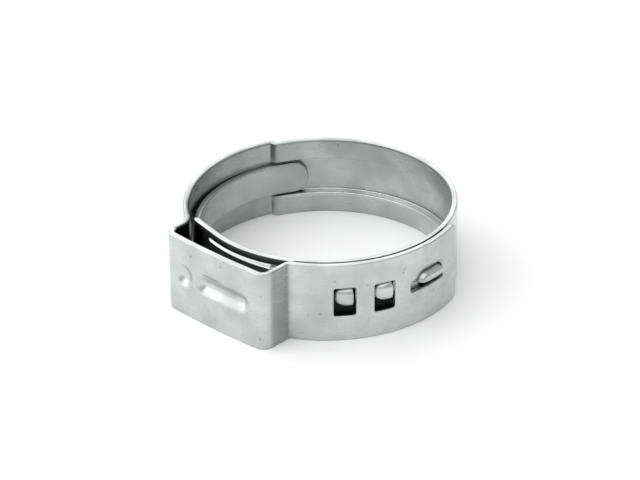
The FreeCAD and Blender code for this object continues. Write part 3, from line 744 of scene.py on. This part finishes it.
    def inner_side_shade(self, x, z):
        """Painted shade over the inner side of the strip, most of it on the left."""
        line, dirt_and_shade = self.line, self.dirt_and_shade
        left = soft_step(x, line.inside(dirt_and_shade.inner_shade_left_from), line.inside(dirt_and_shade.inner_shade_left_to))
        outer = soft_step(x, line.begins["step_out"], line.begins["outer_left"] + 2 * MM)
        inner_shade = dirt_and_shade.inner_shade + dirt_and_shade.inner_shade_left * left + dirt_and_shade.inner_shade_outer * outer
        inner_shade[x < line.inside(dirt_and_shade.inner_shade_tongue_to)] = dirt_and_shade.inner_shade_tongue
        inner_shade[x > line.begins["left_corner"]] = 0.0
        # The channel's lower ledge is left unshaded as a painted highlight, from a little above its edge
        # to below it.
        below = -z - self.channel_edge
        ledge = (below > -0.2 * MM) & (below < 0.3 * MM)
        inner_shade[ledge & (x > line.inside(dirt_and_shade.ledge_highlight_from)) & (x < line.begins["step_out"])] = 0.0
        return inner_shade

    def leg_shade(self, x):
        """Painted shade on the outside of the ear's right leg, with a short fade at each end."""
        begins, fade = self.line.begins, 0.2 * MM
        leg = soft_step(x, begins["right_leg"] - fade, begins["right_leg"] + fade)
        foot = soft_step(x, begins["right_foot"], begins["outer_right"] + fade)
        return self.dirt_and_shade.leg * leg * (1 - foot)

    def window_shade(self, x, y, z, outer):
        """Yields the painted shade in the windows: where each place lies, and how dark it is painted."""
        line, pressed, strip = self.line, self.pressed, self.strip
        margin, unshaded_crown, unshaded_end = 0.1 * MM, 0.3 * MM, 0.4 * MM
        side, tall = pressed.window_width / 2 + margin, pressed.window_height / 2 + margin
        # Each hook's window is painted black as shade, all but the hook's crown.
        for middle in self.hooks:
            window = (np.abs(x - middle) < side) & (np.abs(z - pressed.window_raise) < tall)
            yield (y > 0) & window, 1 - soft_step(outer, margin, unshaded_crown)

        # The lug's slot is painted black as shade, all but its left end.
        lug, foot = pressed.guide_length / 2, pressed.guide_window_foot
        slot = (x > self.guide - lug + unshaded_end) & (x < self.guide + lug)
        yield (y > 0) & slot & (z < pressed.guide_foot) & (z > foot - margin), 1.0

        # The lower cut face of each window is painted black as shade, but not its outer rim.
        deep = y < strip.thickness / 2 - 1.05 * strip.edge_rounding
        sill = pressed.window_raise - pressed.window_height / 2
        sills = [(at, side, sill) for at in self.windows] + [(pressed.guide_at, lug - unshaded_end, foot)]
        for at, reach, height in sills:
            face = (np.abs(x - line.outside(at)) < reach) & (np.abs(z - height) < 0.15 * MM)
            yield deep & face, 1.0

    def seam_and_bead_shade(self, x, y, z):
        """Yields the painted shade along two edges: in the seam between the layers, and on the bead."""
        line, pressed, strip = self.line, self.pressed, self.strip
        outside = y > 0
        facing = np.abs(y) > strip.thickness / 2 - 0.6 * strip.edge_rounding
        # Painted shade in the seam, on both faces that meet there.
        below = outside & (x > line.inside(line.right_at)) & (x < line.inside(strip.unbent_from))
        above = ~outside & (x > line.begins["outer_right"]) & (x < line.begins["free_end"])
        yield self.near_long_edge(z) & facing & (below | above), self.dirt_and_shade.seam

        # Painted shade along the bead's upper edge.
        along = ((x > line.inside(pressed.bead_from))
                 & (x < line.inside(pressed.bead_to + pressed.bead_run_out)))
        up = z - self.bead_edge
        yield along & outside & (up > -0.03 * MM) & (up < 0.12 * MM), self.dirt_and_shade.bead

    def cavity_and_crease_shade(self, x, y, z):
        """Yields painted shade laid over the rest: inside the left foot, on the shoulder and along a
        crease.
        """
        begins, ear, dirt_and_shade = self.line.begins, self.ear, self.dirt_and_shade
        # Painted shade inside the ear's left foot.
        foot = begins["left_foot"]
        inner = (y <= 0) & (x > begins["step_in"]) & (x < begins["left_corner"])
        yield inner, dirt_and_shade.foot * soft_step(x, foot - 4.5 * MM, foot - 2.0 * MM)

        # Painted shade over the bent shoulder, seen in the ear's cavity.
        fade = 1.5 * MM
        bent = soft_step(x, begins["tongue_lift"] - fade, begins["tongue_lift"])
        plain = soft_step(x, begins["unbent"] + 0.3 * MM, begins["unbent"] + fade)
        yield (y > -0.1 * MM) & ~self.near_long_edge(z), dirt_and_shade.shoulder * bent * (1 - plain)

        # Painted shade along a crease that follows the upper edge of the long dimple, left of its middle.
        along = x - self.face_middle - ear.dimple_aside + 1.2 * MM
        up = z - ear.dimple_raise - ear.dimple_height / 2 + 0.12 * MM
        thin = np.exp(-(up / (0.1 * MM)) ** 2)
        yield y > 0, dirt_and_shade.crease * thin * (1 - soft_step(np.abs(along), 0.6 * MM, 1.2 * MM))

    def painted_shade(self, x, y, z, outer):
        """How dark each point is painted as shade, from 0 for none to 1 for black."""
        share = np.where(y > 0, self.leg_shade(x), self.inner_side_shade(x, z))
        for place, much in (*self.window_shade(x, y, z, outer), *self.seam_and_bead_shade(x, y, z)):
            share = np.where(place, much, share)
        for place, much in self.cavity_and_crease_shade(x, y, z):
            share = np.where(place, np.maximum(share, much), share)
        return share

    def flat_triangles(self, rims):
        """Triangles between the rims, their points, and which of these each rim point became."""
        points = self.fill()
        points = points[inside_loops(points, rims)]
        points = drop_near(points, rims, self.CROWDED)
        edges, first = [], 0
        for rim in rims:
            count = len(rim)
            edges += [(first + k, first + (k + 1) % count) for k in range(count)]
            first += count
        flat = [Vector(point) / MM for point in np.concatenate([*rims, points])]
        found = delaunay_2d_cdt(flat, edges, [], 0, self.SAME_SPOT)
        spots = np.array([tuple(spot) for spot in found[0]]) * MM
        new_place = {old: new for new, olds in enumerate(found[3]) for old in olds}
        faces = np.array(found[2])
        return faces[inside_loops(spots[faces].mean(axis=1), rims)], spots, new_place

    def rim_profile(self):
        """A cut edge from the outer side to the inner: how far into the material, and how high."""
        half, round_by = self.strip.thickness / 2, self.strip.edge_rounding
        turns = (math.pi / 6, math.pi / 3, math.pi / 2)
        upper = [(round_by * (1 - math.sin(t)), half - round_by * (1 - math.cos(t))) for t in turns]
        return upper + [(aside, -height) for aside, height in reversed(upper)]

    def skin(self):
        """The closed skin of the flat blank: its points, its polygons, and where its rims start."""
        half = self.strip.thickness / 2
        rims = [inset(loop, self.strip.edge_rounding) for loop in self.loops]
        faces, spots, new_place = self.flat_triangles(rims)
        total = len(spots)
        layers = [np.stack([spots[:, 0], np.full(total, y), spots[:, 1]], 1) for y in (half, -half)]
        polygons = [tuple(face[::-1]) for face in faces] + [tuple(face + total) for face in faces]
        first, made = 0, 2 * total
        for loop in self.loops:
            count = len(loop)
            top = [new_place[first + k] for k in range(count)]
            rings = [top]
            for aside, height in self.rim_profile():
                ring = inset(loop, aside)
                layers.append(np.stack([ring[:, 0], np.full(count, height), ring[:, 1]], 1))
                rings.append(list(range(made, made + count)))
                made += count
            rings.append([spot + total for spot in top])
            for upper, lower in zip(rings, rings[1:]):
                polygons += [(upper[k], upper[(k + 1) % count], lower[(k + 1) % count], lower[k])
                             for k in range(count)]
            first += count
        return np.concatenate(layers), polygons, 2 * total

    def mesh(self):
        """The pressed blank as a closed mesh, with the strip's own surface as its UV map."""
        place, polygons, rims_start = self.skin()
        x, y, z = place.T
        outer, inner = self.press(x, z, True), self.press(x, z, False)
        share = np.clip(y / self.strip.thickness + 0.5, 0.0, 1.0)
        moved = np.stack([x, y + inner + (outer - inner) * share, z], 1)

        mesh = bpy.data.meshes.new("pressed_blank")
        mesh.from_pydata(moved.tolist(), [], polygons)
        mesh.update()
        uv = mesh.uv_layers.new(name="strip_surface")
        corners = np.empty(len(mesh.loops), dtype=int)
        mesh.loops.foreach_get("vertex_index", corners)
        uv.data.foreach_set("uv", (np.stack([x, z], 1)[corners] / MM).ravel())
        on_rim = (np.arange(len(place)) >= rims_start).astype(float)
        # The second attribute holds the painted shade.
        for name, values in (("cut_edge", on_rim), ("painted_shade", self.painted_shade(x, y, z, outer))):
            mesh.attributes.new(name, "FLOAT", "POINT").data.foreach_set("value", values)
        mesh.polygons.foreach_set("use_smooth", [True] * len(mesh.polygons))
        return mesh


def add_node(tree, kind, settings=None, links=None, **values):
    """Adds a node: its settings, the sockets linked into it, and plain values on its sockets."""
    node = tree.nodes.new(kind)
    for name, value in (settings or {}).items():
        setattr(node, name, value)
    for name, value in values.items():
        node.inputs[name.replace("_", " ")].default_value = value
    for name, source in (links or {}).items():
        tree.links.new(source, node.inputs[name])
    return node


def roll_tree():
    """Geometry nodes that roll a flat blank along a centreline."""
    tree = bpy.data.node_groups.new("Roll Strip", "GeometryNodeTree")
    sockets = (("Geometry", "INPUT", "NodeSocketGeometry"), ("Centreline", "INPUT", "NodeSocketObject"),
               ("Steel", "INPUT", "NodeSocketMaterial"), ("Geometry", "OUTPUT", "NodeSocketGeometry"))
    for name, way, kind in sockets:
        tree.interface.new_socket(name, in_out=way, socket_type=kind)
    given = add_node(tree, "NodeGroupInput")
    path = add_node(tree, "GeometryNodeObjectInfo", {"transform_space": "ORIGINAL"},
                    {"Object": given.outputs["Centreline"]})
    flat = add_node(tree, "GeometryNodeInputPosition")
    parts = add_node(tree, "ShaderNodeSeparateXYZ", links={"Vector": flat.outputs[0]})
    spot = add_node(tree, "GeometryNodeSampleCurve", {"mode": "LENGTH", "use_all_curves": True},
                    {"Curves": path.outputs["Geometry"], "Length": parts.outputs["X"]})
    axis = add_node(tree, "ShaderNodeCombineXYZ", Z=1.0)
    outward = add_node(tree, "ShaderNodeVectorMath", {"operation": "CROSS_PRODUCT"},
                       {0: spot.outputs["Tangent"], 1: axis.outputs[0]})
    unit = add_node(tree, "ShaderNodeVectorMath", {"operation": "NORMALIZE"}, {0: outward.outputs[0]})
    aside = add_node(tree, "ShaderNodeVectorMath", {"operation": "SCALE"},
                     {0: unit.outputs[0], "Scale": parts.outputs["Y"]})
    height = add_node(tree, "ShaderNodeCombineXYZ", links={"Z": parts.outputs["Z"]})
    moved = add_node(tree, "ShaderNodeVectorMath", {"operation": "ADD"},
                     {0: spot.outputs["Position"], 1: aside.outputs[0]})
    place = add_node(tree, "ShaderNodeVectorMath", {"operation": "ADD"},
                     {0: moved.outputs[0], 1: height.outputs[0]})
    rolled = add_node(tree, "GeometryNodeSetPosition",
                      links={"Geometry": given.outputs["Geometry"], "Position": place.outputs[0]})
    # The blank's outer side becomes the ring's outside, which turns its faces inside out.
    turned = add_node(tree, "GeometryNodeFlipFaces", links={"Mesh": rolled.outputs[0]})
    steel = add_node(tree, "GeometryNodeSetMaterial",
                     links={"Geometry": turned.outputs[0], "Material": given.outputs["Steel"]})
    real = add_node(tree, "GeometryNodeRealizeInstances", links={"Geometry": steel.outputs[0]})
    add_node(tree, "NodeGroupOutput", links={"Geometry": real.outputs[0]})
    return tree


def centreline_object(line):
    """The centreline as a curve, for the tree to roll the blank along."""
    points = line.points()
    curve = bpy.data.curves.new("strip_centreline", "CURVE")
    curve.dimensions = "3D"
    spline = curve.splines.new("POLY")
    spline.points.add(len(points) - 1)
    spline.points.foreach_set("co", [c for p in points for c in (p.x, p.y, 0.0, 1.0)])
    path = bpy.data.objects.new("strip_centreline", curve)
    bpy.context.collection.objects.link(path)
    return path


def set_inputs(modifier, **values):
    """Sets a tree's named inputs by their sockets' identifiers."""
    for item in modifier.node_group.interface.items_tree:
        if item.in_out == "INPUT" and item.name in values:
            modifier[item.identifier] = values[item.name]


def steel_colour(tree, look, grain, cloud, edge):
    """The colour of the steel: its tone, its specks, and the shade painted over it."""
    tint = add_node(tree, "ShaderNodeMix", {"data_type": "RGBA"}, {"Factor": edge.outputs["Fac"]})
    tint.inputs["A"].default_value = look.rolled
    tint.inputs["B"].default_value = look.sheared
    # Dull patches and rolling lines change the shade of the steel a little.
    patch_shade = add_node(tree, "ShaderNodeMapRange", links={"Value": cloud.outputs["Fac"]},
                           From_Min=0.4, From_Max=0.65, To_Min=1.04, To_Max=0.86)
    line_shade = add_node(tree, "ShaderNodeMapRange", links={"Value": grain.outputs["Fac"]},
                          From_Min=0.3, From_Max=0.7, To_Min=0.97, To_Max=1.01)
    shade = add_node(tree, "ShaderNodeMath", {"operation": "MULTIPLY"},
                     {0: patch_shade.outputs[0], 1: line_shade.outputs[0]})
    shaded = add_node(tree, "ShaderNodeVectorMath", {"operation": "SCALE"},
                      {0: tint.outputs["Result"], "Scale": shade.outputs[0]})
    # Irregular specks of dirt sit in the dull patches only.
    solid = add_node(tree, "ShaderNodeTexCoord")
    blots = add_node(tree, "ShaderNodeTexNoise", links={"Vector": solid.outputs["Object"]},
                     Scale=1.0 / look.speck, Detail=5.0, Roughness=0.75)
    dots = add_node(tree, "ShaderNodeMapRange", links={"Value": blots.outputs["Fac"]},
                    From_Min=0.62, From_Max=0.72, To_Min=0.0, To_Max=0.75)
    dull = add_node(tree, "ShaderNodeMapRange", links={"Value": cloud.outputs["Fac"]},
                    From_Min=0.46, From_Max=0.54)
    specks = add_node(tree, "ShaderNodeMath", {"operation": "MULTIPLY"},
                      {0: dots.outputs[0], 1: dull.outputs[0]})
    # Painted shade: recesses, seams, the ear's cavity and the inner side are painted darker here.
    painted_shade = add_node(tree, "ShaderNodeAttribute", {"attribute_name": "painted_shade"})
    specks_and_shade = add_node(tree, "ShaderNodeMath", {"operation": "MAXIMUM"},
                     {0: specks.outputs[0], 1: painted_shade.outputs["Fac"]})
    finish = add_node(tree, "ShaderNodeMix", {"data_type": "RGBA"}, {"Factor": specks_and_shade.outputs[0]})
    tree.links.new(shaded.outputs[0], finish.inputs["A"])
    finish.inputs["B"].default_value = look.dirt_and_shade
    return finish.outputs["Result"]


def steel_roughness(tree, look, grain, cloud, edge):
    """The roughness of the steel: it follows the lines and the patches, and rises on cut edges."""
    lines = add_node(tree, "ShaderNodeMapRange", links={"Value": grain.outputs["Fac"]},
                     From_Min=0.3, From_Max=0.7, To_Min=look.roughness - 0.04,
                     To_Max=look.roughness + 0.04)
    patches = add_node(tree, "ShaderNodeMapRange", links={"Value": cloud.outputs["Fac"]},
                       From_Min=0.35, From_Max=0.65, To_Min=-0.03, To_Max=0.05)
    rolled_face = add_node(tree, "ShaderNodeMath", {"operation": "ADD"},
                           {0: lines.outputs[0], 1: patches.outputs[0]})
    sheared_face = add_node(tree, "ShaderNodeMapRange", links={"Value": edge.outputs["Fac"]},
                            To_Max=0.04)
    total = add_node(tree, "ShaderNodeMath", {"operation": "ADD"},
                     {0: rolled_face.outputs[0], 1: sheared_face.outputs[0]})
    return total.outputs[0]


def steel_relief(tree, look, grain):
    """The relief of the steel: its rolling lines, and small dents from tumbling over them."""
    solid = add_node(tree, "ShaderNodeTexCoord")
    dents = add_node(tree, "ShaderNodeTexNoise", links={"Vector": solid.outputs["Object"]},
                     Scale=1.0 / look.pit, Detail=4.0, Roughness=0.55)
    line_bump = add_node(tree, "ShaderNodeBump", links={"Height": grain.outputs["Fac"]},
                         Strength=0.15, Distance=0.004 * MM)
    dent_bump = add_node(tree, "ShaderNodeBump", links={
        "Height": dents.outputs["Fac"], "Normal": line_bump.outputs[0]},
        Strength=0.35, Distance=0.03 * MM)
    return dent_bump.outputs[0]


def cold_rolled_stainless(look):
    """Cold-rolled AISI 301 strip, tumbled: fine lines along the strip, soft broad highlights."""
    steel = bpy.data.materials.new("cold_rolled_stainless")
    steel.use_nodes = True
    tree = steel.node_tree
    tree.nodes.clear()
    # The strip's own map counts millimetres: X along the strip, Y across it.
    surface = add_node(tree, "ShaderNodeUVMap", {"uv_map": "strip_surface"})
    lines = add_node(tree, "ShaderNodeMapping", links={"Vector": surface.outputs[0]},
                     Scale=(MM / look.grain_length, MM / look.grain, 1.0))
    grain = add_node(tree, "ShaderNodeTexNoise", {"noise_dimensions": "2D"},
                     {"Vector": lines.outputs[0]}, Scale=1.0, Detail=3.0, Roughness=0.6)
    solid = add_node(tree, "ShaderNodeTexCoord")
    cloud = add_node(tree, "ShaderNodeTexNoise", links={"Vector": solid.outputs["Object"]},
                     Scale=1.0 / look.dull_patch, Detail=3.0)
    edge = add_node(tree, "ShaderNodeAttribute", {"attribute_name": "cut_edge"})
    shader = add_node(tree, "ShaderNodeBsdfPrincipled", links={
        "Base Color": steel_colour(tree, look, grain, cloud, edge),
        "Roughness": steel_roughness(tree, look, grain, cloud, edge),
        "Normal": steel_relief(tree, look, grain)}, Metallic=1.0, Anisotropic=0.2)
    add_node(tree, "ShaderNodeOutputMaterial", links={"Surface": shader.outputs[0]})
    return steel


class CLAMP_OT_make_band(bpy.types.Operator):
    """Cuts the blank, presses its features and rolls it into the clamp"""

    bl_idname = "clamp.make_band"
    bl_label = "Make Band"

    def execute(self, context):
        scene = context.scene
        line = Centreline(scene.clamp_strip, scene.clamp_ear)
        blank = Blank(line, scene.clamp_strip, scene.clamp_ear, scene.clamp_pressed,
                      scene.clamp_dirt)
        flat = bpy.data.objects.new("flat_blank", blank.mesh())
        scene.collection.objects.link(flat)
        path = centreline_object(line)
        steel = cold_rolled_stainless(scene.clamp_steel)
        roll = flat.modifiers.new("Roll", "NODES")
        roll.node_group = roll_tree()
        set_inputs(roll, Centreline=path, Steel=steel)
        context.view_layer.update()
        ready = flat.evaluated_get(context.evaluated_depsgraph_get())
        mesh = bpy.data.meshes.new_from_object(ready)
        mesh.name = "rolled_band"
        band = bpy.data.objects.new("rolled_band", mesh)
        scene.collection.objects.link(band)
        for helper in (flat, path):
            bpy.data.objects.remove(helper)
        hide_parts(BAND)
        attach(band, "root")
        return {"FINISHED"}


# How far the floor reaches to each side, in metres.
FLOOR_REACH = 0.6

# Each lamp: its name, its direction round the part and above the floor in degrees, its distance
# and its width in metres, and the studio property that holds its radiance.
LAMPS = (("main_light", 285, 68, 0.5, 0.8, "main"),
         ("back_light", 133.5, 32, 0.45, 0.3, "back"),
         ("side_light", 213, 25, 0.45, 0.55, "side"))


def softbox(scene, name, azimuth, elevation, distance, across, radiance):
    """A square soft lamp in a direction from the part, which it faces."""
    lamp = bpy.data.lights.new(name, "AREA")
    lamp.size = across
    lamp.energy = math.pi * across ** 2 * radiance
    stand = bpy.data.objects.new(name, lamp)
    ahead = Vector((math.cos(elevation) * math.cos(azimuth), math.cos(elevation) * math.sin(azimuth),
                    math.sin(elevation)))
    stand.location = ahead * distance
    stand.rotation_mode = "QUATERNION"
    stand.rotation_quaternion = (-ahead).to_track_quat("-Z", "Y")
    scene.collection.objects.link(stand)


def white_paper(look):
    """Matt white paper: an even pale ground without a shine."""
    paper = bpy.data.materials.new("white_paper")
    paper.use_nodes = True
    shader = paper.node_tree.nodes["Principled BSDF"]
    shader.inputs["Base Color"].default_value = look.floor
    shader.inputs["Roughness"].default_value = 0.9
    return paper


def lay_floor(scene, look):
    """The floor, at the height of the strip's lower edge."""
    corners = [(FLOOR_REACH * x, FLOOR_REACH * y, LOW.z)
               for x, y in ((-1, -1), (1, -1), (1, 1), (-1, 1))]
    mesh = bpy.data.meshes.new("floor")
    mesh.from_pydata(corners, [], [(0, 1, 2, 3)])
    mesh.materials.append(white_paper(look))
    floor = bpy.data.objects.new("floor", mesh)
    scene.collection.objects.link(floor)


def set_sky(scene, look):
    """Even white light from all round."""
    world = bpy.data.worlds.new("soft_sky")
    world.use_nodes = True
    sky = world.node_tree.nodes["Background"]
    sky.inputs["Color"].default_value = (1.0, 1.0, 1.0, 1.0)
    sky.inputs["Strength"].default_value = look.sky
    scene.world = world


def set_camera(scene, look):
    """The camera, where the fit to the picture put it."""
    back = Vector((math.sin(look.azimuth) * math.cos(look.elevation),
                   -math.cos(look.azimuth) * math.cos(look.elevation), math.sin(look.elevation)))
    camera = bpy.data.cameras.new("camera")
    camera.sensor_width = 36.0
    camera.lens = look.focal / IMAGE_WIDTH * camera.sensor_width
    camera.clip_start, camera.clip_end = 0.01, 10.0
    eye = bpy.data.objects.new("camera", camera)
    eye.location = back * look.distance
    eye.rotation_mode = "QUATERNION"
    eye.rotation_quaternion = (
        (-back).to_track_quat("-Z", "Y")
        @ Quaternion((0, 1, 0), math.atan((look.aim_x - IMAGE_WIDTH / 2) / look.focal))
        @ Quaternion((1, 0, 0), math.atan((look.aim_y - IMAGE_HEIGHT / 2) / look.focal))
        @ Quaternion((0, 0, 1), -look.roll))
    scene.collection.objects.link(eye)
    scene.camera = eye


class CLAMP_OT_make_studio(bpy.types.Operator):
    """Lays the pale floor and sets the lamps, the sky and the camera"""

    bl_idname = "clamp.make_studio"
    bl_label = "Make Studio"

    def execute(self, context):
        scene = context.scene
        look = scene.clamp_studio
        lay_floor(scene, look)
        set_sky(scene, look)
        for name, azimuth, elevation, distance, across, radiance in LAMPS:
            softbox(scene, name, math.radians(azimuth), math.radians(elevation), distance, across,
                    getattr(look, radiance))
        set_camera(scene, look)
        scene.view_settings.view_transform = "Standard"
        return {"FINISHED"}


class CLAMP_PT_panel(bpy.types.Panel):
    """Lists the sizes and the pieces of the clamp"""

    bl_idname = "CLAMP_PT_panel"
    bl_label = "Ear Hose Clamp"
    bl_space_type = "VIEW_3D"
    bl_region_type = "UI"
    bl_category = "Clamp"

    def draw(self, context):
        scene = context.scene
        # The fifth group holds the shade painted into the steel's colour.
        for label, group in (("Strip", scene.clamp_strip), ("Ear", scene.clamp_ear),
                             ("Pressed features", scene.clamp_pressed),
                             ("Steel", scene.clamp_steel), ("Dirt", scene.clamp_dirt),
                             ("Studio", scene.clamp_studio)):
            box = self.layout.box()
            box.label(text=label)
            for name in group.bl_rna.properties.keys():
                if name not in ("rna_type", "name"):
                    box.prop(group, name)
        self.layout.operator(CLAMP_OT_make_band.bl_idname)
        self.layout.operator(CLAMP_OT_make_studio.bl_idname)


GROUPS = {"clamp_strip": ClampStripSizes, "clamp_ear": ClampEarSizes,
          "clamp_pressed": ClampPressedSizes, "clamp_steel": ClampSteelLook,
          "clamp_dirt": ClampPaintedShadeLook, "clamp_studio": ClampStudioLook}
CLASSES = (*GROUPS.values(), CLAMP_OT_make_band, CLAMP_OT_make_studio, CLAMP_PT_panel)


def register():
    """Registers the sizes, the operators and the panel."""
    for kind in CLASSES:
        bpy.utils.register_class(kind)
    for name, kind in GROUPS.items():
        setattr(bpy.types.Scene, name, PointerProperty(type=kind))


def unregister():
    """Takes them out again, in the reverse order."""
    for name in GROUPS:
        delattr(bpy.types.Scene, name)
    for kind in reversed(CLASSES):
        bpy.utils.unregister_class(kind)


def main():
    """Makes the clamp and its studio in an empty scene."""
    for thing in list(bpy.data.objects):
        if thing.name in ("Cube", "Light", "Camera"):
            bpy.data.objects.remove(thing)
    register()
    bpy.ops.clamp.make_band()
    bpy.ops.clamp.make_studio()
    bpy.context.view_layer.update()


if __name__ == "__main__":
    main()
